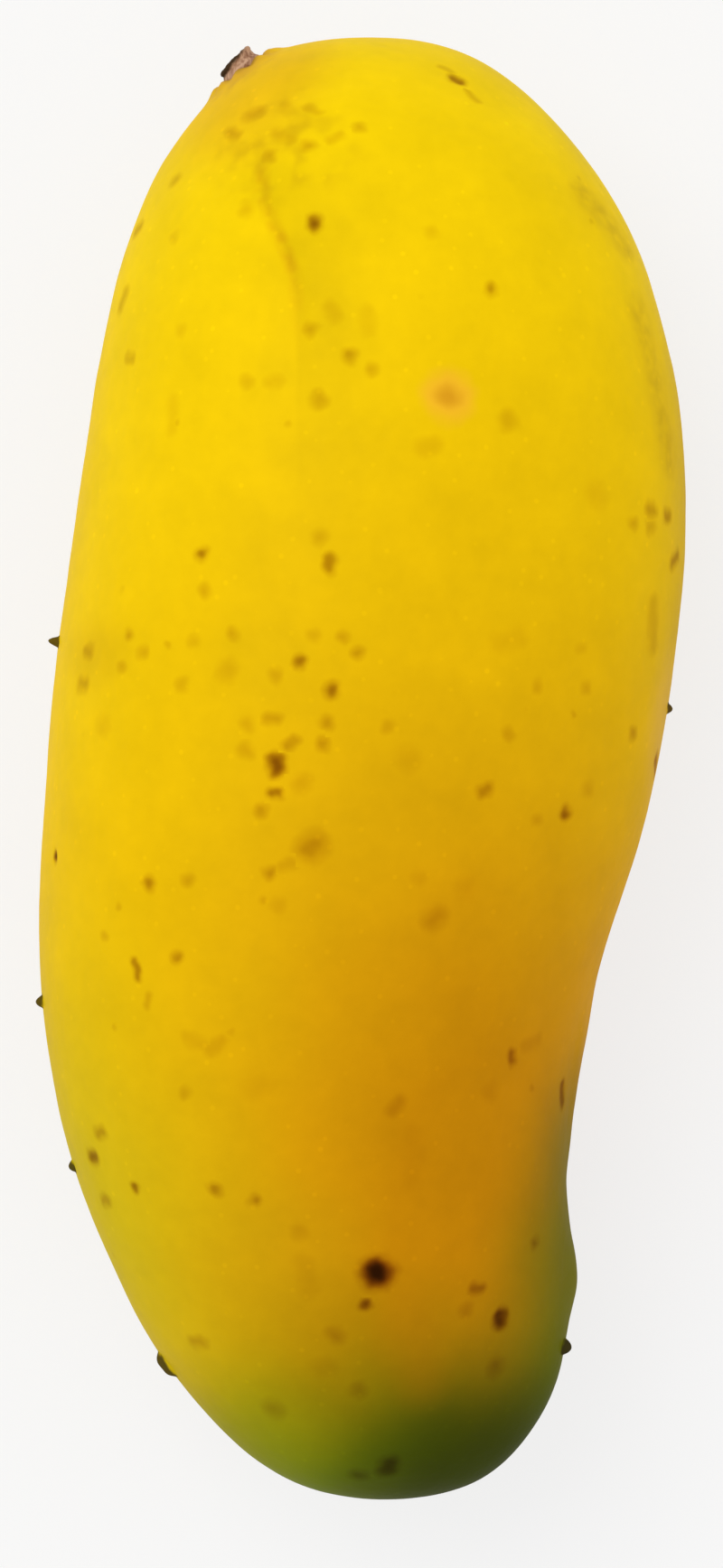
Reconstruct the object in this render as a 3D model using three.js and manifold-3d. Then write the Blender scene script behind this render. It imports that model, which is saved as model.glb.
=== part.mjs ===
// A ripe mango lying on its cheek with the stub of its stalk, in millimetres, +Z up.
// +Y runs to the stalk end and +X to the beak side. The origin is on the surface the
// fruit rests on, below the middle of its box.
import * as THREE from 'three';
import { mergeVertices } from 'three/addons/utils/BufferGeometryUtils.js';
import Module from 'manifold-3d';

// Driving dimensions of the fruit.
const fruitLength = 160;
const fruitBreadth = 68; // a section's widest, from the back to the beak side
const fruitThickness = 60; // cheek to cheek
const restDepth = 0.45; // how much of the lower cheek is pressed flat where it rests
const keel = 0.07; // how much thinner a section is towards the beak side than at its middle

// Nine sections from the stalk end to the tip, evenly spaced in angle round the long way.
// lean is how far the section's middle lies towards the beak side, in half breadths. broad
// and deep are its fullness against a plain ellipsoid, across and from cheek to cheek.
const sections = [
  { lean: 0.03, broad: 1.7, deep: 1.30 }, // stalk end
  { lean: 0.05, broad: 1.275, deep: 1.22 },
  { lean: 0.08, broad: 1.168, deep: 1.13 }, // shoulders
  { lean: 0.083, broad: 1.055, deep: 1.05 },
  { lean: -0.018, broad: 0.985, deep: 1.00 }, // middle
  { lean: -0.14, broad: 0.93, deep: 0.98 }, // the hollow of the beak side
  { lean: -0.04, broad: 1.018, deep: 0.99 },
  { lean: 0.066, broad: 1.18, deep: 1.08 },
  { lean: 0.12, broad: 1.65, deep: 1.20 }, // tip
];

// Where the skin rises out of its smooth shape, or sinks into it: the place as an angle from
// the stalk end round the long way, on which side, how high, and how far it reaches.
const collar = { angle: 18, side: -1, height: 0.5, reach: 5 };
const shoulder = { angle: 35, side: -1, height: 0.6, reach: 8 };
const sinus = { angle: 124, side: 1, height: -0.7, reach: 9 };
const beak = { angle: 133.5, side: 1, height: 1.4, reach: 3.6 };
const chin = { angle: 146, side: 1, height: 1.2, reach: 8 };

// The stalk's stub, a short woody peg in a socket at the middle of the collar.
const stalkRadius = 2.2;
const stalkFootRadius = 2.6;
const stalkRise = 1.2; // above the collar
const stalkRimHollow = 0.4; // how deep the broken end is dished
const socketDepth = 1.6;
const fitGap = 0.3; // between the stub and its socket

const skinDetail = 17; // splits of each edge of the icosahedron that the skin starts from
const stalkSides = 24;

const yellowSkin = new THREE.MeshStandardMaterial({ color: 0xf0c010, roughness: 0.55, metalness: 0 });
const dryStalk = new THREE.MeshStandardMaterial({ color: 0x5b4129, roughness: 0.85, metalness: 0 });

const halfLength = fruitLength / 2;
const halfBreadth = fruitBreadth / 2;
const halfThickness = fruitThickness / 2;

const sectionCurve = new THREE.CatmullRomCurve3(
  sections.map(({ lean, broad, deep }) => new THREE.Vector3(lean, broad, deep)),
  false,
  'catmullrom',
);

// The way from the fruit's middle to a place on its outline, on a unit sphere.
function outlineDirection({ angle, side }) {
  const turn = THREE.MathUtils.degToRad(angle);
  return new THREE.Vector3(side * Math.sin(turn), Math.cos(turn), 0);
}

// The way out of the skin at a direction on the unit sphere.
function outward(direction) {
  return new THREE.Vector3(
    direction.x / halfBreadth,
    direction.y / halfLength,
    direction.z / halfThickness,
  ).normalize();
}

// The smooth skin, before its humps and hollow, at a direction on the unit sphere.
function smoothSkin(direction) {
  const fromStalk = Math.acos(THREE.MathUtils.clamp(direction.y, -1, 1)) / Math.PI;
  const section = sectionCurve.getPoint(fromStalk);
  const girth = Math.hypot(direction.x, direction.z);
  const towardsBeak = girth > 0 ? direction.x / girth : 0;
  return new THREE.Vector3(
    halfBreadth * (section.x + section.y * direction.x),
    halfLength * direction.y,
    halfThickness * section.z * direction.z * (1 - keel * towardsBeak),
  );
}

// The skin itself: the smooth one, raised by its humps and lowered by its hollow.
function skinPoint(direction) {
  const smooth = smoothSkin(direction);
  const rise = [collar, shoulder, sinus, beak, chin].reduce((sum, hump) => {
    const away = smooth.distanceTo(smoothSkin(outlineDirection(hump))) / hump.reach;
    return sum + hump.height * Math.exp(-away * away);
  }, 0);
  return smooth.addScaledVector(outward(direction), rise);
}

// A closed geometry as a solid that can be cut.
const wasm = await Module();
wasm.setup();
function solidOf(geometry) {
  const bare = new THREE.BufferGeometry().setIndex(geometry.getIndex());
  bare.setAttribute('position', geometry.getAttribute('position'));
  const merged = mergeVertices(bare, 1e-3);
  return new wasm.Manifold(new wasm.Mesh({
    numProp: 3,
    vertProperties: merged.getAttribute('position').array,
    triVerts: new Uint32Array(merged.getIndex().array),
  }));
}

function geometryOf(solid) {
  const { vertProperties, triVerts } = solid.getMesh();
  const geometry = new THREE.BufferGeometry();
  geometry.setAttribute('position', new THREE.BufferAttribute(vertProperties, 3));
  geometry.setIndex(new THREE.BufferAttribute(triVerts, 1));
  geometry.computeVertexNormals();
  return geometry;
}

// The place and way of the stalk, at the top of the collar.
const stalkDirection = outlineDirection(collar);
const stalkBase = skinPoint(stalkDirection);
const stalkTurn = new THREE.Quaternion().setFromUnitVectors(
  new THREE.Vector3(0, 1, 0),
  outward(stalkDirection),
);

function stalkSocket() {
  const mouth = socketDepth + stalkRise;
  const socket = new THREE.CylinderGeometry(
    stalkFootRadius + fitGap,
    stalkFootRadius + fitGap,
    mouth,
    stalkSides,
  );
  socket.translate(0, mouth / 2 - socketDepth, 0);
  return socket.applyQuaternion(stalkTurn).translate(stalkBase.x, stalkBase.y, stalkBase.z);
}

function restingSurface() {
  const slabThickness = 10;
  const slab = new THREE.BoxGeometry(2 * fruitBreadth, 2 * fruitLength, slabThickness);
  return slab.translate(0, 0, -slabThickness / 2 - halfThickness + restDepth);
}

function makeFruit() {
  const skin = new THREE.IcosahedronGeometry(1, skinDetail);
  const places = skin.getAttribute('position');
  const direction = new THREE.Vector3();
  for (let i = 0; i < places.count; i += 1) {
    const point = skinPoint(direction.fromBufferAttribute(places, i).normalize());
    places.setXYZ(i, point.x, point.y, point.z);
  }
  const whole = solidOf(skin);
  const rested = whole.subtract(solidOf(restingSurface()));
  const fruit = new THREE.Mesh(geometryOf(rested.subtract(solidOf(stalkSocket()))), yellowSkin);
  fruit.name = 'mango_fruit';
  return fruit;
}

function makeStalk() {
  const foot = fitGap - socketDepth;
  const profile = [
    new THREE.Vector2(0, foot),
    new THREE.Vector2(stalkFootRadius, foot),
    new THREE.Vector2(stalkFootRadius, 0),
    new THREE.Vector2(stalkRadius, 0.4 * stalkRise),
    new THREE.Vector2(stalkRadius, 0.85 * stalkRise),
    new THREE.Vector2(0.85 * stalkRadius, stalkRise),
    new THREE.Vector2(0, stalkRise - stalkRimHollow),
  ];
  const stalk = new THREE.Mesh(new THREE.LatheGeometry(profile, stalkSides), dryStalk);
  stalk.name = 'stalk_stub';
  stalk.position.copy(stalkBase);
  stalk.quaternion.copy(stalkTurn);
  return stalk;
}

const mango = new THREE.Group();
mango.add(makeFruit(), makeStalk());

// The box of the whole object is centred over the origin and stands on it.
const box = new THREE.Box3().setFromObject(mango);
const middle = box.getCenter(new THREE.Vector3());
mango.position.set(-middle.x, -middle.y, -box.min.z);

export default mango;
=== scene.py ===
import math

import bmesh
import bpy
import numpy
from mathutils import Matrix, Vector


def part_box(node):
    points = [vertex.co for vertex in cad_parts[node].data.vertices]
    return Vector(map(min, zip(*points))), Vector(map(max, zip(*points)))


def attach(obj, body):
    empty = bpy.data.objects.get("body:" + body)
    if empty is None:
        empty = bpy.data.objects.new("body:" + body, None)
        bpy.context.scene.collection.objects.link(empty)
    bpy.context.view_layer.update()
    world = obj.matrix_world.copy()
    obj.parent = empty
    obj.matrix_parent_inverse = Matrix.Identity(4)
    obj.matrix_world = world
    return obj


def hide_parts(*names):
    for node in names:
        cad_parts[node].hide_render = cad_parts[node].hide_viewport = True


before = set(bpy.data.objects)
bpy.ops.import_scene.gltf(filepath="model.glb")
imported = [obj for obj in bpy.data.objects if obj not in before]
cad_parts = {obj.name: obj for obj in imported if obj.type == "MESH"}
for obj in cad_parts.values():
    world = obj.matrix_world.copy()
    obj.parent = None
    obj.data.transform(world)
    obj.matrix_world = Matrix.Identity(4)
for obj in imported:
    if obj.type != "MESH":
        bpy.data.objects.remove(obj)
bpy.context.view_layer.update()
mm = 0.001  # for sizes written in millimetres


def pickPiece(piece):
    bpy.ops.object.select_all(action="DESELECT")
    piece.select_set(True)
    bpy.context.view_layer.objects.active = piece


def openEdit(piece, kind):
    pickPiece(piece)
    bpy.context.tool_settings.mesh_select_mode = (kind == "VERT", kind == "EDGE", kind == "FACE")
    bpy.ops.object.mode_set(mode="EDIT")
    bpy.ops.mesh.select_all(action="DESELECT")


def closeEdit():
    bpy.ops.object.mode_set(mode="OBJECT")


def pickParts(piece, kind, wanted):
    # selects the vertices, edges or faces of the open piece that pass a test on their middle
    shape = bmesh.from_edit_mesh(piece.data)
    parts = {"VERT": shape.verts, "EDGE": shape.edges, "FACE": shape.faces}[kind]
    for part in parts:
        part.select_set(False)
    for part in parts:
        if wanted(part):
            part.select_set(True)
    bmesh.update_edit_mesh(piece.data)


def applied(piece, kind, **settings):
    pickPiece(piece)
    bpy.ops.object.modifier_add(type=kind)
    modifier = piece.modifiers[-1]
    for name, value in settings.items():
        setattr(modifier, name, value)
    bpy.ops.object.modifier_apply(modifier=modifier.name)


def points(piece):
    places = numpy.empty(len(piece.data.vertices) * 3)
    piece.data.vertices.foreach_get("co", places)
    return places.reshape(-1, 3)


def weightGroup(piece, name, weights, least=0.004):
    # lighter weights than the least are left out
    group = piece.vertex_groups.new(name=name)
    for index in numpy.nonzero(weights > least)[0]:
        group.add([int(index)], float(min(weights[index], 1)), "REPLACE")
    return name


def keepWith(piece, name, values, domain="POINT"):
    # numbers, or groups of three, kept with each point or face for the material to read
    kind, part = ("FLOAT", "value") if values.ndim == 1 else ("FLOAT_VECTOR", "vector")
    piece.data.attributes.new(name, kind, domain).data.foreach_set(part, values.ravel())


def paint(hexCode):
    # a written colour as the linear numbers that a shader takes
    parts = [int(hexCode[i:i + 2], 16) / 255 for i in (1, 3, 5)]
    return tuple(p / 12.92 if p <= 0.04045 else ((p + 0.055) / 1.055) ** 2.4 for p in parts) + (1,)


class Wire:
    # one output socket, so that shader maths reads like plain sums
    def __init__(self, tree, socket=None):
        self.tree = tree
        self.socket = socket

    def node(self, kind, settings=None, inputs=None, output=0):
        made = self.tree.nodes.new(kind)
        for name, value in (settings or {}).items():
            if name == "stops":
                setStops(made.color_ramp, value)
            else:
                setattr(made, name, value)
        for name, value in (inputs or {}).items():
            if isinstance(value, Wire):
                self.tree.links.new(value.socket, made.inputs[name])
            else:
                made.inputs[name].default_value = value
        return Wire(self.tree, made.outputs[output] if made.outputs else None)

    def maths(self, operation, left, right=0.0):
        return self.node("ShaderNodeMath", {"operation": operation}, {0: left, 1: right})

    def __add__(self, other):
        return self.maths("ADD", self, other)

    def __radd__(self, other):
        return self.maths("ADD", other, self)

    def __sub__(self, other):
        return self.maths("SUBTRACT", self, other)

    def __rsub__(self, other):
        return self.maths("SUBTRACT", other, self)

    def __mul__(self, other):
        return self.maths("MULTIPLY", self, other)

    def __rmul__(self, other):
        return self.maths("MULTIPLY", other, self)

    def __truediv__(self, other):
        return self.maths("DIVIDE", self, other)

    def __pow__(self, other):
        return self.maths("POWER", self, other)


def setStops(ramp, stops):
    for element, (place, colour) in ((ramp.elements[0], stops[0]), (ramp.elements[-1], stops[-1])):
        element.position = place
        element.color = colour
    for place, colour in stops[1:-1]:
        ramp.elements.new(place).color = colour


def newMaterial(name):
    material = bpy.data.materials.new(name)
    material.use_nodes = True
    material.node_tree.nodes.clear()
    return material, Wire(material.node_tree)


def fade(value, full, none):
    # 1 where the value is at full or past it, 0 at none, eased between
    return value.node(
        "ShaderNodeMapRange",
        {"interpolation_type": "SMOOTHSTEP"},
        {"Value": value, "From Min": none, "From Max": full, "To Min": 0.0, "To Max": 1.0},
    )


def blend(factor, first, second, way="MIX"):
    settings = {"data_type": "RGBA", "blend_type": way}
    tree = next(part for part in (factor, first, second) if isinstance(part, Wire))
    return tree.node("ShaderNodeMix", settings, {0: factor, 6: first, 7: second}, 2)


def cloudy(place, size, detail=2.0, output=0):
    # soft noise whose patches are about as wide as size, in millimetres
    sockets = {"Vector": place, "Scale": 1 / size, "Detail": detail}
    return place.node("ShaderNodeTexNoise", {}, sockets, output)


def cells(place, size, output):
    sockets = {"Vector": place, "Scale": 1 / size}
    return place.node("ShaderNodeTexVoronoi", {"feature": "F1"}, sockets, output)


def vectors(operation, first, second, output=0):
    return first.node("ShaderNodeVectorMath", {"operation": operation}, {0: first, 1: second}, output)


def shaken(place, size, amount):
    # the place moved about by noise, so that what is laid out on it gets a natural edge
    drift = vectors("SUBTRACT", cloudy(place, size, 1.0, "Color"), (0.5, 0.5, 0.5))
    return vectors("ADD", place, vectors("MULTIPLY", drift, (amount, amount, amount)))


def millimetres(sheet):
    place = sheet.node("ShaderNodeTexCoord", {}, {}, "Object")
    return vectors("MULTIPLY", place, (1000, 1000, 1000))


def threeParts(vector):
    return [vector.node("ShaderNodeSeparateXYZ", {}, {"Vector": vector}, axis) for axis in "XYZ"]


def clamped(value, most=1.0):
    return value.node("ShaderNodeClamp", {}, {"Value": value, "Max": most})


def awayFrom(place, middle, stretch=(1, 1, 1)):
    # how far the place is from a middle, with each axis shortened by its own stretch
    gap = vectors("MULTIPLY", vectors("SUBTRACT", place, middle), tuple(1 / part for part in stretch))
    return gap.node("ShaderNodeVectorMath", {"operation": "LENGTH"}, {0: gap}, "Value")


def awayFromRun(gap, run, along):
    # the distance to a line: gap leads to the place from the line's start, and along says how
    # much of the line's run lies before it
    along = clamped(along)
    foot = along.node("ShaderNodeVectorMath", {"operation": "SCALE"}, {0: run, "Scale": along})
    return vectors("DISTANCE", gap, foot, "Value")


def awayFromLine(place, start, end, stretch=(1, 1, 1)):
    run = tuple((last - first) / part for first, last, part in zip(start, end, stretch))
    gap = vectors("MULTIPLY", vectors("SUBTRACT", place, start), tuple(1 / part for part in stretch))
    along = vectors("DOT_PRODUCT", gap, run, "Value") / sum(part ** 2 for part in run)
    return awayFromRun(gap, run, along)


def colourRamp(value, stops):
    settings = {"stops": [(place, paint(hexCode)) for place, hexCode in stops]}
    return value.node("ShaderNodeValToRGB", settings, {"Fac": value}, "Color")


def kept(sheet, name, output="Fac"):
    return sheet.node("ShaderNodeAttribute", {"attribute_name": name}, {}, output)


def bumped(sheet, strength, depth, height):
    # fine relief in the shading, its depth in millimetres
    sockets = {"Strength": strength, "Distance": depth * mm, "Height": height}
    return sheet.node("ShaderNodeBump", {}, sockets, "Normal")


def finishMaterial(sheet, shader):
    sheet.node("ShaderNodeOutputMaterial", {}, {"Surface": shader})


# where the camera hangs over the fruit, and where the marks on its upper cheek are laid out from
viewpoint = {
    "middle": (-0.0002, -0.0017),  # metres
    "height": 0.73,
    "lens": 147.5,
    "outlineHeight": 0.0272,  # of the fruit's outline as seen from there
    "missLift": 0.005,  # how much higher the skin is looked for past the outline
}

skin = {
    "columns": 10,  # of the starting box's faces, across and in height
    "rows": 26,  # along it
    "relax": 6,  # rounds of smoothing and wrapping
    "smoothing": 12,  # passes in each round
    # the sizes from here on are in millimetres
    "lift": 0.17,  # what smoothing takes off and the wrap gives back
    "lumps": 0.45,  # the broad unevenness of grown skin
    "lumpSize": 17,
    "ripples": 0.09,
    "rippleSize": 4.5,
    "restSlack": 0.22,  # what lies lower is pressed down to the table
    # the fold that runs from the stalk down the upper cheek
    "creaseX": -6.8,  # where it runs straight
    "creaseBend": 0.087,  # how strongly it turns to the stalk
    "bendStart": 48,
    "bendLength": 13,
    "creaseEnds": (18, 68),
    "creaseEase": (30, 6),  # how softly it begins and ends
    "creaseWidth": 1.5,
    "creaseDepth": 0.28,
    "cheekHeight": 30,  # the upper cheek lies above this
    # the skin's collar round the stalk
    "collarReach": 7,
    "collarDrop": 6,
    "puckers": 11,  # folds round the ring
    "puckerRadius": 3.7,
    "puckerWidth": 1.2,
    "puckerHeight": 0.5,
    "wellRadius": 2.9,
    "wellDepth": 0.5,
    # marks and scabs
    "pitDepth": 0.5,  # of the deepest rotten pit
    "pitStart": 0.25,  # a mark of less strength lies flat
    "pitSteepness": 1.3,
    "strokeEase": 1.5,  # how far a stroke's relief reaches, in its squared radii
    "scabHeight": 1.2,  # of the highest of the hard scabs along the sides
    "fineReach": (2.5, 1.6),  # of the finer faces round the deepest pit and the scabs
}

# marks on the upper cheek, in millimetres and as the camera sees them at the height of the
# outline: x, y, width, strength, and for a long mark half its run in x and y
upperMarks = [
    (1.5, -55.2, 3.7, 1.0), (15.1, -60.3, 1.8, 0.76, 0.05, 0.5), (-9.6, 0.4, 2.1, 0.67, 0, 0.3),
    (-5.3, 59.6, 2.0, 0.63), (-3.5, 8.6, 1.8, 0.54), (22.2, -4.9, 1.8, 0.55),
    (2.8, -76.4, 2.4, 0.52, 0.2, 0.4), (-6.9, 11.7, 1.7, 0.5), (0.2, -58.7, 1.6, 0.64),
    (-9.7, -2.8, 1.4, 0.52, 0.4, 0), (-3.7, 22.4, 1.6, 0.45, 0, 0.5), (-17.6, 23.5, 1.8, 0.5),
    (14.0, 52.4, 1.7, 0.41), (-1.6, 45.2, 1.8, 0.36), (-23.4, -12.6, 1.7, 0.45),
    (-5.6, -8.6, 3.1, 0.37, 0.25, 0.25), (13.4, -2.3, 1.6, 0.37, 0.3, 0.1),
    (16.3, -31.5, 1.5, 0.45, 0, 0.4), (-24.9, -22.0, 1.1, 0.45, -0.2, 0.9), (-20.5, -20.6, 1.6, 0.4),
    (-29.6, -42.5, 1.8, 0.56, 0.2, 0), (-16.2, -46.1, 1.7, 0.42), (-11.9, -47.2, 1.6, 0.38),
    (-12.0, 71.7, 1.9, 0.29, 0.4, 0.2), (-10.2, 67.1, 1.7, 0.3), (-25.0, -45.9, 1.4, 0.54),
    (10.3, 75.4, 1.8, 0.58, 0.3, -0.15), (-30.1, 12.8, 1.8, 0.32, 0.25, 0),
    (-8.0, 2.8, 1.4, 0.34, 0.5, 0.3), (21.8, -35.6, 1.6, 0.5, 0, 0.9), (33.2, 27.6, 1.7, 0.42, 0.2, 0),
    (-33.7, -9.6, 1.5, 0.8), (12.5, -56.9, 1.5, 0.42, 0.4, 0.1), (-11.2, -4.6, 1.6, 0.32),
    (-10.0, 5.4, 1.5, 0.3, 0.4, 0), (-4.0, 5.1, 1.7, 0.33), (-4.4, 2.7, 1.5, 0.36),
    (-12.9, 2.0, 1.9, 0.25), (-12.7, 4.8, 1.8, 0.22), (-6.7, -1.6, 2.2, 0.21), (2.7, 4.6, 1.5, 0.22),
    (4.8, 1.0, 2.8, 0.12), (-9.7, 10.1, 1.8, 0.25), (-14.9, 10.6, 2.6, 0.20), (-19.8, 9.2, 1.8, 0.22),
    (-14.4, 14.6, 1.6, 0.28), (-18.6, 14.0, 1.6, 0.18), (-25.6, 14.6, 1.5, 0.32),
    (-24.1, 12.7, 1.5, 0.26), (-26.4, 11.0, 1.5, 0.26), (-30.7, 9.2, 1.8, 0.32, 0.25, 0),
    (-0.5, 12.6, 1.6, 0.33), (-2.2, 14.4, 1.5, 0.28), (-5.4, 14.5, 1.5, 0.20), (-17.3, 19.5, 1.5, 0.28),
    (-4.8, 25.3, 1.8, 0.25), (-4.8, 40.3, 2.0, 0.31), (-5.7, 48.1, 1.8, 0.30), (0.9, 43.7, 1.6, 0.28),
    (-3.4, 49.9, 1.8, 0.17, 0.3, -0.5), (0.5, 49.0, 1.6, 0.11, 0, 1.0), (7.5, 58.6, 1.7, 0.16),
    (15.8, 38.1, 2.3, 0.25), (7.1, 35.3, 2.2, 0.17, 0.5, 0.2), (25.5, 29.9, 3.2, 0.13),
    (31.5, 28.3, 1.9, 0.36, 0.2, 0), (31.4, 26.4, 1.8, 0.28, 0.15, 0), (29.5, 26.9, 1.6, 0.28),
    (-12.8, 61.2, 2.0, 0.22), (-25.6, 44.9, 1.4, 0.28, 0.3, 0), (-20.6, 64.4, 1.9, 0.3),
    (-20.6, 58.3, 1.5, 0.18), (-12.7, 42.3, 1.5, 0.2), (-9.8, 42.3, 1.4, 0.15, 0.4, 0),
    (-19.9, 47.9, 1.5, 0.15), (-20.9, 38.8, 1.6, 0.12, 0, 1.6), (34.0, 22.9, 1.9, 0.42, 0.25, 0.4),
    (31.7, 15.8, 2.3, 0.24, 0, 2.2), (24.3, 8.9, 1.7, 0.22), (18.9, 8.9, 1.6, 0.2),
    (15.8, 3.8, 1.6, 0.25), (29.5, 3.8, 1.7, 0.34), (24.6, -2.3, 2.0, 0.19), (19.0, -5.7, 1.6, 0.2),
    (-8.5, -10.6, 1.5, 0.2, 0.5, 0.2), (-10.2, -11.4, 1.6, 0.35), (-9.3, -15.0, 1.7, 0.15),
    (-19.2, -12.2, 1.5, 0.28), (-28.3, -18.4, 1.5, 0.25), (-23.6, -25.5, 1.1, 0.25, 0.1, 0.5),
    (7.9, -16.3, 2.6, 0.28, 0.3, 0.2), (6.1, -12.0, 2.0, 0.12), (11.2, -13.0, 2.8, 0.11),
    (15.9, 14.0, 2.2, 0.1, 1.2, 0.3), (-16.2, -30.3, 1.7, 0.2, 0.7, 0.4),
    (-18.4, -29.9, 1.6, 0.15, 0.8, -0.3), (-19.4, -35.4, 1.5, 0.25), (3.6, -36.9, 1.8, 0.25, 0.3, 0.3),
    (5.4, -42.6, 2.4, 0.07, 0.2, 2.5), (-28.8, -39.9, 1.7, 0.36, 0.25, 0),
    (-28.2, -47.3, 1.6, 0.34, 0.2, 0), (-18.2, -62.8, 1.9, 0.3, 0.4, 0), (-3.0, -62.0, 2.2, 0.29),
    (18.7, -51.9, 1.5, 0.35), (11.3, -59.1, 1.8, 0.25), (-4.3, -65.5, 2.6, 0.1),
    (-0.5, -68.0, 2.2, 0.26), (-9.8, -70.1, 2.8, 0.27), (-0.5, -77.2, 2.2, 0.36),
    (14.5, -65.5, 2.4, 0.32), (-14.3, 69.5, 1.5, 0.3, 0.4, -0.3), (-6.0, 68.2, 1.8, 0.33),
    (-8.8, 69.2, 1.6, 0.2, 0.8, -0.3), (-3.0, 69.0, 1.3, 0.22, 0.6, 0.15), (-0.4, 70.2, 1.5, 0.3),
    (-5.5, 72.1, 1.3, 0.24, 0.6, -0.3), (-8.5, 72.4, 1.6, 0.17), (9.0, 76.6, 1.2, 0.28, 0.6, -0.3),
    (11.9, 73.6, 1.2, 0.28, 0.5, -0.5), (32.0, 0.4, 1.9, 0.5, 0, 0.6), (-24.7, 59.0, 1.9, 0.34, 0.3, 0.3),
    (-26.3, 51.2, 1.8, 0.3, 0.3, 0.8), (-28.4, 4.6, 2.4, 0.14), (23.8, 13.2, 1.6, 0.14),
    (-11.8, -34.8, 3.2, 0.09), (-6.9, -50.8, 1.9, 0.18), (-6.2, -55.5, 2.4, 0.1, 0.3, -1.4),
    (18.4, -30.1, 1.5, 0.15, 0.7, 0.2), (13.8, -35.3, 2.2, 0.11),
]

# the same for the lower cheek, straight from below
lowerMarks = [
    (-8.2, 31.5, 1.7, 0.6), (17.4, -20.3, 1.6, 0.6), (-20.6, -38.8, 2.2, 0.8), (4.8, 52.0, 1.8, 0.5),
    (-15.5, 47.2, 1.5, 0.45), (21.3, 35.6, 1.6, 0.45), (-25.8, 8.4, 1.5, 0.45), (10.6, -38.7, 1.8, 0.5),
    (-4.3, -57.9, 1.6, 0.5, 0.5, 0.4), (24.6, 9.8, 1.5, 0.4), (-26.2, -20.5, 1.3, 0.45, 0.2, 0.6),
    (13.9, 61.8, 1.5, 0.42), (-2.9, 61.3, 1.9, 0.25), (-9.6, 44.0, 1.7, 0.3), (13.2, 44.8, 2.3, 0.2),
    (-20.3, 26.1, 1.8, 0.3), (16.8, 20.9, 1.6, 0.3, 0.8, 0.4), (28.4, 22.7, 1.7, 0.25),
    (-29.3, -4.6, 1.9, 0.25), (20.5, -8.8, 1.8, 0.2), (-14.7, -27.3, 2.2, 0.28), (3.8, -31.6, 1.6, 0.32),
    (-11.4, -46.9, 1.9, 0.22), (9.7, -52.5, 1.5, 0.3), (-17.2, -53.6, 1.8, 0.25),
    (6.1, -66.3, 2.1, 0.25), (-24.9, 38.5, 1.6, 0.25), (-6.7, -9.0, 1.6, 0.3), (8.1, 12.4, 1.7, 0.22),
]

# the same for hard dark scabs that stand out of the sides
scabs = [
    (-21.6, -65.1, 1.9, 0.65, 0.55, -0.45), (-31.8, -43.3, 1.2, 0.5), (-35.0, -25.5, 1.2, 0.65),
    (-34.3, 13.9, 1.0, 1.0), (34.2, 6.3, 1.0, 0.5), (22.8, -63.0, 1.6, 0.75),
]

# where the beak side's shoulder is faintly scuffed: from, to
scuffs = [((23.8, 63.2), (28.6, 57.0)), ((30.0, 50.5), (33.4, 33.5))]

sting = (9.3, 40.75)  # where an insect's sting left a flushed ring

# how the stalk stands in the skin
stalk = {
    "turn": math.radians(37.4),  # from the long way towards the back
    "footLift": 0.33,  # mm, from the middle of the stub's box to where it leaves the skin
    "socketRadius": 2.95,  # mm, takes in the socket's floor and wall
    "socketTop": 0.1,  # mm, above the stub's foot
}
stalkWay = Vector((-math.sin(stalk["turn"]), math.cos(stalk["turn"]), 0))


def stalkFoot():
    low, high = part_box("stalk_stub")
    return (low + high) / 2 + stalkWay * stalk["footLift"] * mm


def wrapForm():
    # a welded copy of the fruit's solid with the stub's socket closed, to wrap the skin onto
    pickPiece(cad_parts["mango_fruit"])
    bpy.ops.object.duplicate()
    form = bpy.context.view_layer.objects.active
    foot = stalkFoot()
    openEdit(form, "FACE")
    bpy.ops.mesh.select_all(action="SELECT")
    bpy.ops.mesh.remove_doubles(threshold=0.001 * mm)

    def inSocket(face):
        away = face.calc_center_median() - foot
        height = away.dot(stalkWay)
        out = (away - stalkWay * height).length
        return height < stalk["socketTop"] * mm and out < stalk["socketRadius"] * mm

    pickParts(form, "FACE", inSocket)
    bpy.ops.mesh.delete(type="FACE")
    bpy.ops.mesh.select_all(action="SELECT")
    bpy.ops.mesh.fill_holes(sides=0)
    closeEdit()
    return form


def makeSkin():
    low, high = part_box("mango_fruit")
    form = wrapForm()
    bpy.ops.object.select_all(action="DESELECT")
    bpy.ops.mesh.primitive_cube_add(size=1, calc_uvs=False, location=(low + high) / 2, scale=high - low)
    piece = bpy.context.view_layer.objects.active
    piece.name = "mango_skin"
    bpy.ops.object.transform_apply(location=True, rotation=True, scale=True)

    def lengthwise(edge):
        way = edge.verts[0].co - edge.verts[1].co
        return abs(way.y) > 0.9 * way.length

    openEdit(piece, "EDGE")
    pickParts(piece, "EDGE", lengthwise)
    bpy.ops.mesh.subdivide(number_cuts=skin["rows"] - 1)
    pickParts(piece, "EDGE", lambda edge: not lengthwise(edge))
    bpy.ops.mesh.subdivide(number_cuts=skin["columns"] - 1)
    closeEdit()

    wrap = {"target": form, "wrap_method": "NEAREST_SURFACEPOINT", "offset": skin["lift"] * mm}
    applied(piece, "CAST", cast_type="SPHERE", factor=0.5)
    applied(piece, "SHRINKWRAP", **wrap)
    for _ in range(skin["relax"]):
        applied(piece, "SMOOTH", factor=0.5, iterations=skin["smoothing"])
        applied(piece, "SHRINKWRAP", **wrap)
    applied(piece, "SUBSURF", levels=1, render_levels=1)
    applied(piece, "SHRINKWRAP", **wrap)
    applied(piece, "SUBSURF", levels=2, render_levels=2)
    bpy.data.objects.remove(form)
    print("skin wrapped:", len(piece.data.polygons), "faces")
    return piece


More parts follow.
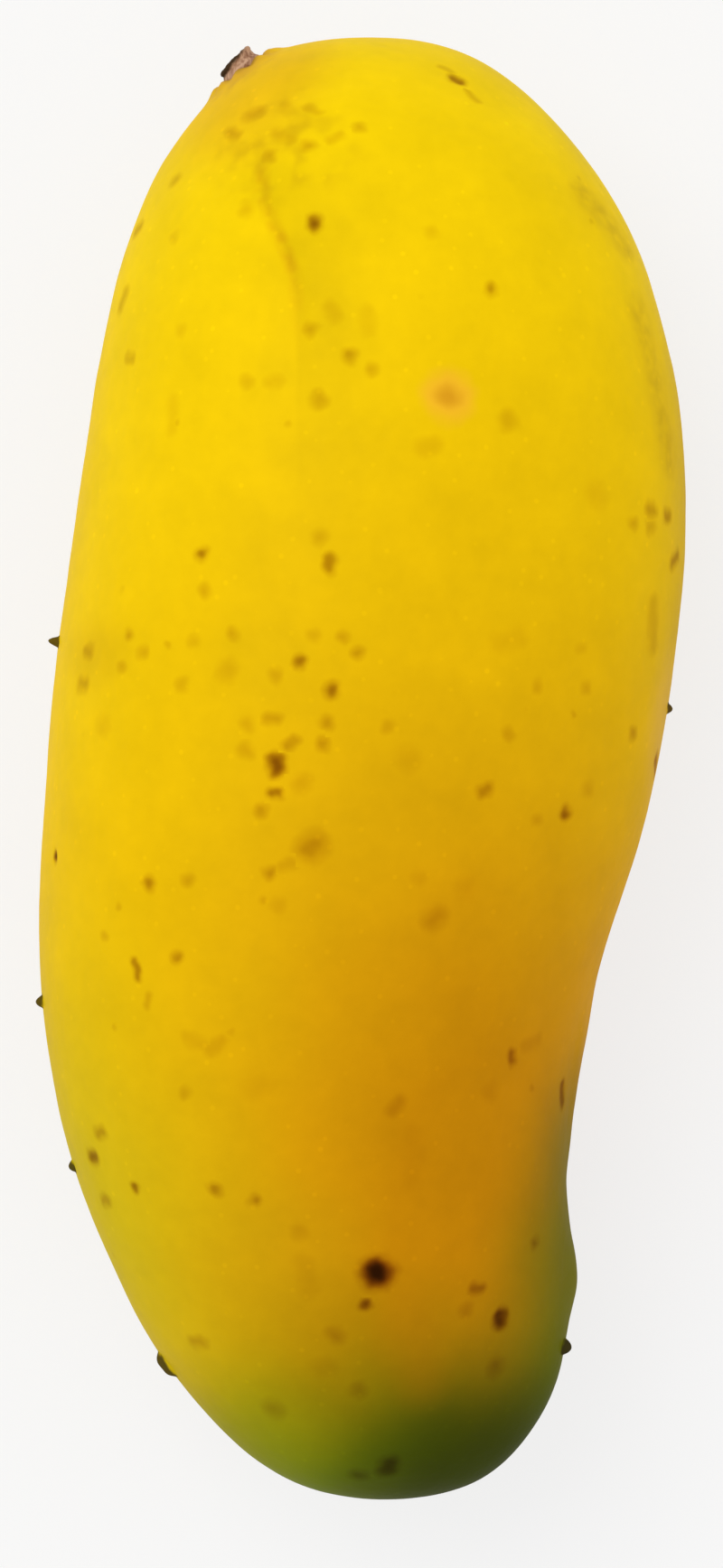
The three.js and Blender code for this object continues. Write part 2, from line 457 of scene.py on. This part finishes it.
def seenOnSkin(piece, x, y):
    # the skin where the camera sees it, or the nearest skin to a place past the outline
    eye = Vector((*viewpoint["middle"], viewpoint["height"]))
    aim = Vector((x * mm, y * mm, viewpoint["outlineHeight"]))
    hit, point, _, _ = piece.ray_cast(eye, aim - eye)
    if hit:
        return point
    return piece.closest_point_on_mesh(aim + Vector((0, 0, viewpoint["missLift"])))[1]


def underSkin(piece, x, y):
    return piece.ray_cast((x * mm, y * mm, -10 * mm), (0, 0, 1))[1]


def strokes(piece, entries, find):
    # the entries as lines on the skin, in millimetres: start, end, radius and strength
    laid = []
    for x, y, width, strength, *run in entries:
        dx, dy = run or (0, 0)
        start = numpy.array(find(piece, x - dx, y - dy)) / mm
        end = numpy.array(find(piece, x + dx, y + dy)) / mm
        laid.append((start, end, width / 2, strength))
    return laid


def raisedStrokes(piece, laid, height):
    # the same lines with their ends lifted off the skin, to follow what stands out of it
    raised = []
    for start, end, radius, strength in laid:
        way = piece.closest_point_on_mesh(Vector(end) * mm)[2]
        raised.append((start, end + numpy.array(way) * height * strength, radius, strength))
    return raised


def squared(run):
    # never quite 0, so that a round mark's run can be divided by it
    return max(run @ run, 0.001)


def nearestStroke(places, laid):
    # for each place the number of the nearest stroke, and its squared distance in that stroke's radii
    least = numpy.full(len(places), numpy.inf)
    which = numpy.zeros(len(places), dtype=int)
    for number, (start, end, radius, _) in enumerate(laid):
        run = end - start
        along = numpy.clip((places - start) @ run / squared(run), 0, 1)
        away = ((places - start - numpy.outer(along, run)) ** 2).sum(axis=1) / radius ** 2
        closer = away < least
        least[closer] = away[closer]
        which[closer] = number
    return which, least


def markFaces(piece, name, laid):
    # every face keeps the line of its nearest stroke: start, run, and radius with strength
    middles = numpy.empty(len(piece.data.polygons) * 3)
    piece.data.polygons.foreach_get("center", middles)
    which, _ = nearestStroke(middles.reshape(-1, 3) / mm, laid)
    starts = numpy.array([start for start, _, _, _ in laid])
    runs = numpy.array([end - start for start, end, _, _ in laid])
    shapes = numpy.array([
        (1 / radius, strength, 1 / squared(run)) for (_, _, radius, strength), run in zip(laid, runs)
    ])
    for part, values in (("Start", starts), ("Run", runs), ("Shape", shapes)):
        keepWith(piece, name + part, values[which], "FACE")


def bowls(piece, laid):
    # a stroke's strength on its line, easing to 0 past its edge
    which, away = nearestStroke(points(piece) / mm, laid)
    strengths = numpy.array([strength for _, _, _, strength in laid])
    return numpy.clip(1 - away / skin["strokeEase"], 0, 1) * strengths[which]


def refine(piece, middle, reach):
    # finer faces within reach of a point
    openEdit(piece, "FACE")
    pickParts(piece, "FACE", lambda face: (face.calc_center_median() - middle).length < reach * mm)
    bpy.ops.mesh.subdivide(number_cuts=1)
    closeEdit()


def cloudTexture(name, size, octaves):
    texture = bpy.data.textures.new(name, "CLOUDS")
    texture.noise_scale = size * mm
    texture.noise_depth = octaves
    return texture


def pushed(piece, name, weights, height):
    group = weightGroup(piece, name, weights)
    applied(piece, "DISPLACE", vertex_group=group, strength=height * mm, mid_level=0)


def creaseWeights(places):
    # 1 along the fold, easing to 0 beside it and at its ends
    x, y, z = places.T
    climb = numpy.clip(y - skin["bendStart"], 0, skin["bendLength"])
    past = x - skin["creaseX"] + skin["creaseBend"] * climb ** 1.5
    (low, high), (lowEase, highEase) = skin["creaseEnds"], skin["creaseEase"]
    along = numpy.clip((y - low) / lowEase, 0, 1) * numpy.clip((high - y) / highEase, 0, 1)
    return numpy.exp(-(past / skin["creaseWidth"]) ** 2) * along * (z > skin["cheekHeight"])


def collarWeights(places):
    # the puckered ring round the stalk, and the well that its stub stands in
    way = numpy.array(stalkWay)
    gap = places - numpy.array(stalkFoot() / mm)
    height = gap @ way
    across = gap - numpy.outer(height, way)
    out = numpy.linalg.norm(across, axis=1)
    turn = numpy.arctan2(across[:, 2], across @ numpy.array((stalkWay.y, -stalkWay.x, 0)))
    ruffle = 0.55 + 0.45 * numpy.cos(skin["puckers"] * turn + 1.3 * numpy.sin(2 * turn))
    near = height > -skin["collarDrop"]
    ring = numpy.exp(-((out - skin["puckerRadius"]) / skin["puckerWidth"]) ** 2) * ruffle * near
    well = numpy.exp(-(out / skin["wellRadius"]) ** 6) * near
    return ring, well


def relief(piece, pits, raised):
    broad = cloudTexture("broadLumps", skin["lumpSize"], 1)
    fine = cloudTexture("fineRipples", skin["rippleSize"], 2)
    applied(piece, "DISPLACE", texture=broad, strength=skin["lumps"] * mm, mid_level=0.5)
    applied(piece, "DISPLACE", texture=fine, strength=skin["ripples"] * mm, mid_level=0.5)
    places = points(piece) / mm
    ring, well = collarWeights(places)
    pushed(piece, "crease", creaseWeights(places), -skin["creaseDepth"])
    pushed(piece, "pucker", ring, skin["puckerHeight"])
    pushed(piece, "stalkWell", well, -skin["wellDepth"])
    pushed(piece, "pits", pits, -skin["pitDepth"])
    pushed(piece, "scabs", raised, skin["scabHeight"])


def flattenRest(piece):
    # the pressed spot lies flat on the table
    openEdit(piece, "VERT")
    pickParts(piece, "VERT", lambda vertex: vertex.co.z < skin["restSlack"] * mm)
    bpy.ops.transform.resize(value=(1, 1, 0), center_override=(0, 0, 0), orient_type="GLOBAL")
    closeEdit()


mangoSkin = makeSkin()
marks = strokes(mangoSkin, upperMarks, seenOnSkin) + strokes(mangoSkin, lowerMarks, underSkin)
hardScabs = strokes(mangoSkin, scabs, seenOnSkin)
deepestPit = marks[:1]
refine(mangoSkin, stalkFoot(), skin["collarReach"])
for reach in skin["fineReach"]:
    for start, _, _, _ in deepestPit + hardScabs:
        refine(mangoSkin, Vector(start) * mm, reach)
markFaces(mangoSkin, "mark", marks)
markFaces(mangoSkin, "scab", raisedStrokes(mangoSkin, hardScabs, skin["scabHeight"]))
sunk = numpy.clip(bowls(mangoSkin, marks) - skin["pitStart"], 0, 1) ** skin["pitSteepness"]
relief(mangoSkin, sunk, bowls(mangoSkin, hardScabs))
flattenRest(mangoSkin)
pickPiece(mangoSkin)
bpy.ops.object.shade_smooth()
print("skin shaped:", len(mangoSkin.data.polygons), "faces")

paints = {
    # from the ripest patch out to the plain yellow, the amber partly riper colour and partly painted
    # shade: distance, colour
    "ripening": [
        (0.00, "#C88503"), (0.14, "#CB8903"), (0.28, "#DA9D04"), (0.42, "#E4AF04"),
        (0.58, "#EFC003"), (0.80, "#F8CE03"), (1.00, "#FAD403"),
    ],
    # what a mark leaves of the colour under it, from the faintest to a rotten pit
    "marks": [
        (0.00, "#FFFFFF"), (0.26, "#EBE2DA"), (0.48, "#C4AC98"), (0.66, "#9C7A5C"), (0.82, "#6E4E36"),
        (0.94, "#4A3422"), (1.00, "#3C2A1A"),
    ],
    "flankGreen": "#C8B80F",
    "leafGreen": "#4A6202",
    "beakGreen": "#666A06",
    "chinGreen": "#8CA008",
    "tipDarkAndShade": "#343C02",
    "tongue": "#CC8004",
    # painted shade on the right flank, and a plain olive tone above the tip
    "khaki": "#B89208",
    "warm": "#E5AA14",
    "peach": "#E6B068",
    # painted shade along the line of the fold
    "crease": "#D89A06",
    "collar": "#C28A3A",
    "collarEdge": "#7A5A20",
    "ring": "#FFB432",
    "ringCore": "#C67A10",
    "russet": "#A8780C",
    "scab": "#362C18",
}

# where the paints lie on the skin, in millimetres
zones = {
    # the sun-ripened patch on the beak side, whose amber is partly painted shade, and how far from it the
    # skin is plain yellow
    "ripest": {"middle": (13, -46, 45), "stretch": (0.88, 1.45, 2.2), "reach": 80},
    # soft patches over the ripening: paint, middle, stretch, how far off it is full and gone,
    # and how strongly it covers
    "ripe": [
        ("flankGreen", (-38, -58, 32), (0.75, 1.1, 1.5), 6, 48, 0.8),
        # the khaki along the right flank is painted shade on that side
        ("khaki", (44, 28, 24), (1, 3.0, 1.6), 6, 19, 0.6),
        ("khaki", (-9, -53, 50), (1, 1, 2), 2, 14, 0.32),
        ("warm", (-13, 74, 36), (1, 1, 1.8), 3, 14, 0.5),
        ("peach", (36, 3, 33), (1, 1.8, 1.4), 0, 8, 0.5),
    ],
    "speckled": ("russet", (-26, 12, 42), (1.3, 1, 2), 2, 6, 0.22),
    # the unripe band that climbs from the tip over the beak
    "beak": {
        "start": (25, -74, 31),
        "end": (26, -54.5, 32),
        "stretch": (1, 1.7, 1.6),
        "full": 4.5,
        "gone": 18.2,
        "strength": 0.92,
    },
    # the unripe tip, in patches like the ripe ones; its darkest green is partly painted shade where the
    # tip curves away from the light
    "tip": [
        ("leafGreen", (4.5, -86, 30), (1, 1, 3), 12, 37.5, 0.94),
        # darkest green at the tip: partly unripe colour, partly painted shade
        ("tipDarkAndShade", (12.5, -76.5, 34), (1, 1, 3), 4, 19, 0.9),
        ("chinGreen", (-13, -73.5, 34), (1, 1, 3), 2, 14, 0.42),
        ("tongue", (5.5, -62, 50), (1, 1.6, 2), 1, 6, 0.3),
    ],
    "scurf": {"middle": (-8, 66, 44), "stretch": (1.1, 0.9, 1.6), "full": 3, "gone": 10},
}


def strokeAway(place, sheet, name):
    # how far the face's own stroke is, in its radii, and its strength
    start, run, shape = [kept(sheet, name + part, "Vector") for part in ("Start", "Run", "Shape")]
    perRadius, strength, perRun = threeParts(shape)
    gap = vectors("SUBTRACT", place, start)
    away = awayFromRun(gap, run, vectors("DOT_PRODUCT", gap, run, "Value") * perRun)
    return away * perRadius, strength


def covered(colour, amount, name):
    return blend(amount, colour, paint(paints[name]))


def patched(colour, place, patch):
    name, middle, stretch, full, gone, strength = patch
    return covered(colour, fade(awayFrom(place, middle, stretch), full, gone) * strength, name)


def groundColour(broad, close):
    # the fruit's colours without its marks: the riper amber toward the lower right is partly painted
    # shade, and so are the khaki on the right flank and the darkest green of the tip
    ripest, beak = zones["ripest"], zones["beak"]
    ripe = awayFrom(broad, ripest["middle"], ripest["stretch"]) / ripest["reach"]
    # riper amber toward the lower right, partly painted shade
    colour = colourRamp(ripe, paints["ripening"])
    for patch in zones["ripe"]:
        colour = patched(colour, broad, patch)
    colour = patched(colour, close, zones["speckled"])
    bandAway = awayFromLine(broad, beak["start"], beak["end"], beak["stretch"])
    colour = covered(colour, fade(bandAway, beak["full"], beak["gone"]) * beak["strength"], "beakGreen")
    for patch in zones["tip"]:
        colour = patched(colour, broad, patch)
    return colour


def creaseShade(place, mottle):
    # the fold from the stalk, sharp on its left and soft on its right: a painted shade line in the fold's
    # groove, and a painted shade band on its right side
    x, y, z = threeParts(place)
    climb = clamped(y - skin["bendStart"], skin["bendLength"])
    past = x - skin["creaseX"] + climb ** 1.5 * skin["creaseBend"] + mottle * 0.9
    reach = fade(y, 58, 18) * fade(y, 61, 66) * fade(z, 40, skin["cheekHeight"])
    foldShadeLine = fade(past.maths("ABSOLUTE", past), 0.1, 1.3) * fade(y, 54, 42) * reach
    shade = fade(past, 0.3, -0.6) * fade(past, 0.5, 9) * reach
    return foldShadeLine, shade


def skinMaterial():
    material, sheet = newMaterial("ripeMangoSkin")
    place = millimetres(sheet)
    broad = shaken(place, 16, 6)
    close = shaken(place, 2, 1.1)
    mottle = cloudy(place, 8) - 0.5
    grain = cloudy(place, 1.7, 1.5) - 0.5

    foldShadeLine, shade = creaseShade(place, mottle)
    # the painted shade line down the fold, in the crease paint
    colour = covered(groundColour(broad, close), foldShadeLine * (grain * 1.2 + 0.32), "crease")
    lenticel = fade(cells(place, 2.3, "Distance"), 0.07, 0.17) * (mottle + 0.5)
    # the painted shade band on the fold's right side darkens the level
    level = 1.0 + mottle * 0.2 + grain * 0.08 + lenticel * 0.12 - shade * 0.11
    colour = blend(1.0, colour, level, "MULTIPLY")

    # russet scurf by the stalk, a tanned collar and the scuffed shoulder
    scurf = zones["scurf"]
    russet = fade(awayFrom(broad, scurf["middle"], scurf["stretch"]), scurf["full"], scurf["gone"])
    russet = fade(cloudy(place, 3.2, 1.5), 0.76, 0.42) * russet
    colour = covered(colour, russet * 0.36, "russet")
    stalkAway = awayFrom(close, tuple(stalkFoot() / mm), (1, 1, 1.5))
    colour = covered(colour, fade(stalkAway + grain * 2.4, 2.2, 6.2) * 0.62, "collar")
    colour = covered(colour, fade(stalkAway, 2.6, 3.5) * 0.5, "collarEdge")
    for ends in scuffs:
        start, end = [tuple(seenOnSkin(mangoSkin, *spot) / mm) for spot in ends]
        scuffed = fade(awayFromLine(close, start, end, (1, 1, 1.6)), 0.2, 2.6) * (grain * 1.6 + 0.5)
        colour = covered(colour, scuffed * 0.42, "russet")

    # specks that fall anywhere, then the marks laid out above
    speck = fade(cells(close, 6.5, "Distance"), 0.02, 0.11)
    freckle = speck * fade(cells(close, 6.5, "Color"), 0.62, 0.5)
    away, strength = strokeAway(close, sheet, "mark")
    within = 1.0 - (away * away + grain * 0.6) / 2.3
    spot = within.maths("MAXIMUM", within) ** 1.7 * strength * (1.03 + grain * 0.6)
    mark = spot.maths("MAXIMUM", spot, freckle * 0.2)
    colour = blend(1.0, colour, colourRamp(mark, paints["marks"]), "MULTIPLY")
    scab = fade(strokeAway(close, sheet, "scab")[0] + grain * 0.5, 1.1, 1.5)
    colour = covered(colour, scab * 0.9, "scab")

    # one old sting with a flushed ring
    stung = awayFrom(close, tuple(seenOnSkin(mangoSkin, *sting) / mm))
    colour = covered(colour, fade(stung, 1.4, 3.8) * 0.55, "ring")
    colour = covered(colour, fade(stung, 0.2, 2.0) * 0.5, "ringCore")

    shader = sheet.node("ShaderNodeBsdfPrincipled", {}, {
        "Base Color": colour,
        "Roughness": 0.5 + mottle * 0.12 + mark * 0.25 + scab * 0.2 + russet * 0.1,
        "Specular IOR Level": 0.025,
        "Normal": bumped(sheet, 0.35, 0.12, cloudy(place, 0.9, 1.0) * 0.6 + grain),
    })
    finishMaterial(sheet, shader)
    return material


mangoSkin.data.materials.append(skinMaterial())
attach(mangoSkin, "root")
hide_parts("mango_fruit")
print("skin painted")

stump = {
    "sides": 28,
    # radius and height of its rings from the foot in the skin to the pith, in millimetres
    "rings": [
        (2.60, -1.30), (2.60, -0.50), (2.34, -0.15), (2.12, 0.14), (2.08, 0.42), (2.18, 0.66),
        (2.16, 0.82), (1.90, 0.92), (1.62, 0.76), (1.00, 0.58), (0.42, 0.64),
    ],
    "slant": math.radians(11),  # how far the broken end leans to the back
    "slantFrom": 0.2,  # mm, what stands higher leans
    "slantPivot": 0.4,  # mm
    "roughFrom": -0.1,  # mm, where the break begins to be uneven
    "roughOver": 0.8,  # mm, the height in which that comes to its full strength
    "warp": (0.7, 2.6, 0),  # mm, how far the whole peg is out of round, over what size; octaves
    "knobs": (0.35, 0.8, 2),  # the same for the small knobs
    "barkLight": "#D2A888",
    "barkDark": "#94684C",
    "sap": "#44301A",
    "pith": "#8A6238",
}


def makeStump():
    firstRadius, firstHeight = stump["rings"][0]
    nextHeight = stump["rings"][1][1]
    bpy.ops.object.select_all(action="DESELECT")
    bpy.ops.mesh.primitive_cylinder_add(
        vertices=stump["sides"], radius=firstRadius * mm, depth=(nextHeight - firstHeight) * mm,
        location=(0, 0, (firstHeight + nextHeight) / 2 * mm), calc_uvs=False,
    )
    piece = bpy.context.view_layer.objects.active
    piece.name = "stalk_stump"
    bpy.ops.object.transform_apply(location=True, rotation=True, scale=True)
    openEdit(piece, "FACE")
    pickParts(piece, "FACE", lambda face: face.normal.z > 0.9)
    radius, height = firstRadius, nextHeight
    for ringRadius, ringHeight in stump["rings"][2:]:
        bpy.ops.mesh.extrude_region_move(
            TRANSFORM_OT_translate={"value": (0, 0, (ringHeight - height) * mm)}
        )
        size = ringRadius / radius
        bpy.ops.transform.resize(value=(size, size, 1), center_override=(0, 0, ringHeight * mm))
        radius, height = ringRadius, ringHeight
    slantFrom = stump["slantFrom"] * mm
    pickParts(piece, "FACE", lambda face: min(vertex.co.z for vertex in face.verts) > slantFrom)
    bpy.ops.transform.rotate(
        value=-stump["slant"], orient_axis="Y", center_override=(0, 0, stump["slantPivot"] * mm)
    )
    closeEdit()
    applied(piece, "SUBSURF", levels=2, render_levels=2)
    weights = numpy.clip((points(piece)[:, 2] / mm - stump["roughFrom"]) / stump["roughOver"], 0, 1)
    group = weightGroup(piece, "broken", weights)
    for name in ("warp", "knobs"):
        strength, size, octaves = stump[name]
        texture = cloudTexture(name, size, octaves)
        bumps = {"texture": texture, "vertex_group": group, "mid_level": 0.5}
        applied(piece, "DISPLACE", strength=strength * mm, **bumps)
    side, front, height = points(piece).T / mm
    keepWith(piece, "height", height)
    keepWith(piece, "out", numpy.hypot(side, front))
    keepWith(piece, "side", side)
    piece.rotation_euler = stalkWay.to_track_quat("Z", "Y").to_euler()
    piece.location = stalkFoot()
    pickPiece(piece)
    bpy.ops.object.transform_apply(location=True, rotation=True, scale=True)
    bpy.ops.object.shade_smooth()
    return piece


def stumpMaterial():
    material, sheet = newMaterial("driedStalk")
    place = millimetres(sheet)
    height, out, side = [kept(sheet, name) for name in ("height", "out", "side")]
    fibre = cloudy(vectors("MULTIPLY", place, (3.0, 1.0, 3.0)), 1.2, 3.0)
    grain = cloudy(place, 0.5, 2.0)
    colour = blend(fade(fibre, 0.7, 0.35), paint(stump["barkLight"]), paint(stump["barkDark"]))
    rim = fade(height + side * 0.27 + grain * 0.4, 0.95, 0.55)
    colour = blend(rim * fade(side + grain, 0.4, -2.2), colour, paint(stump["sap"]))
    pith = fade(out + grain * 0.6, 0.5, 1.1) * rim
    colour = blend(pith * 0.8, colour, paint(stump["pith"]))
    shader = sheet.node("ShaderNodeBsdfPrincipled", {}, {
        "Base Color": colour,
        "Roughness": 0.75 + grain * 0.2,
        "Specular IOR Level": 0.2,
        "Normal": bumped(sheet, 0.6, 0.3, fibre + grain * 0.5),
    })
    finishMaterial(sheet, shader)
    return material


stalkStump = makeStump()
stalkStump.data.materials.append(stumpMaterial())
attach(stalkStump, "root")
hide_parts("stalk_stub")
print("stalk done:", len(stalkStump.data.polygons), "faces")

studio = {
    "floorSize": 9.0,  # metres
    "floorColour": (0.86, 0.86, 0.86, 1),
    "floorWhite": 0.72,  # how much of the floor that the camera sees is plain white
    "keyPower": 9.0,  # watts
    "keyAway": 1.9,
    "keySize": 1.1,
    "keyWay": (-0.34, 0.36, 0.87),
    "airLight": 0.76,
    "white": (1, 1, 1, 1),
}


def makeFloor():
    bpy.ops.object.select_all(action="DESELECT")
    bpy.ops.mesh.primitive_plane_add(size=studio["floorSize"])
    floor = bpy.context.view_layer.objects.active
    floor.name = "studio_floor"
    material, sheet = newMaterial("paleFloor")
    surface = sheet.node("ShaderNodeBsdfDiffuse", {}, {"Color": studio["floorColour"]})
    white = sheet.node("ShaderNodeEmission", {}, {"Color": studio["white"], "Strength": 1.0})
    seen = sheet.node("ShaderNodeLightPath", {}, {}, "Is Camera Ray") * studio["floorWhite"]
    mixed = sheet.node("ShaderNodeMixShader", {}, {0: seen, 1: surface, 2: white})
    finishMaterial(sheet, mixed)
    floor.data.materials.append(material)


def makeLamp():
    way = Vector(studio["keyWay"]).normalized()
    bpy.ops.object.light_add(type="AREA", location=way * studio["keyAway"])
    key = bpy.context.view_layer.objects.active
    key.name = "softKey"
    key.data.energy = studio["keyPower"]
    key.data.size = studio["keySize"]
    key.rotation_euler = way.to_track_quat("Z", "Y").to_euler()
    key.visible_camera = False


def makeWorld():
    world = bpy.data.worlds.new("studioAir")
    bpy.context.scene.world = world
    world.use_nodes = True
    world.node_tree.nodes.clear()
    sheet = Wire(world.node_tree)
    seen = sheet.node("ShaderNodeLightPath", {}, {}, "Is Camera Ray")
    light, backdrop = [
        sheet.node("ShaderNodeBackground", {}, {"Color": studio["white"], "Strength": strength})
        for strength in (studio["airLight"], 1.0)
    ]
    mixed = sheet.node("ShaderNodeMixShader", {}, {0: seen, 1: light, 2: backdrop})
    sheet.node("ShaderNodeOutputWorld", {}, {"Surface": mixed})


def makeCamera():
    x, y = viewpoint["middle"]
    bpy.ops.object.camera_add(location=(x, y, viewpoint["height"]), rotation=(0, 0, 0))
    camera = bpy.context.view_layer.objects.active
    camera.data.lens = viewpoint["lens"]
    camera.data.sensor_width = 36
    camera.data.clip_start = 0.01
    bpy.context.scene.camera = camera


makeFloor()
makeLamp()
makeWorld()
makeCamera()
bpy.context.scene.view_settings.view_transform = "Standard"
print("studio done")
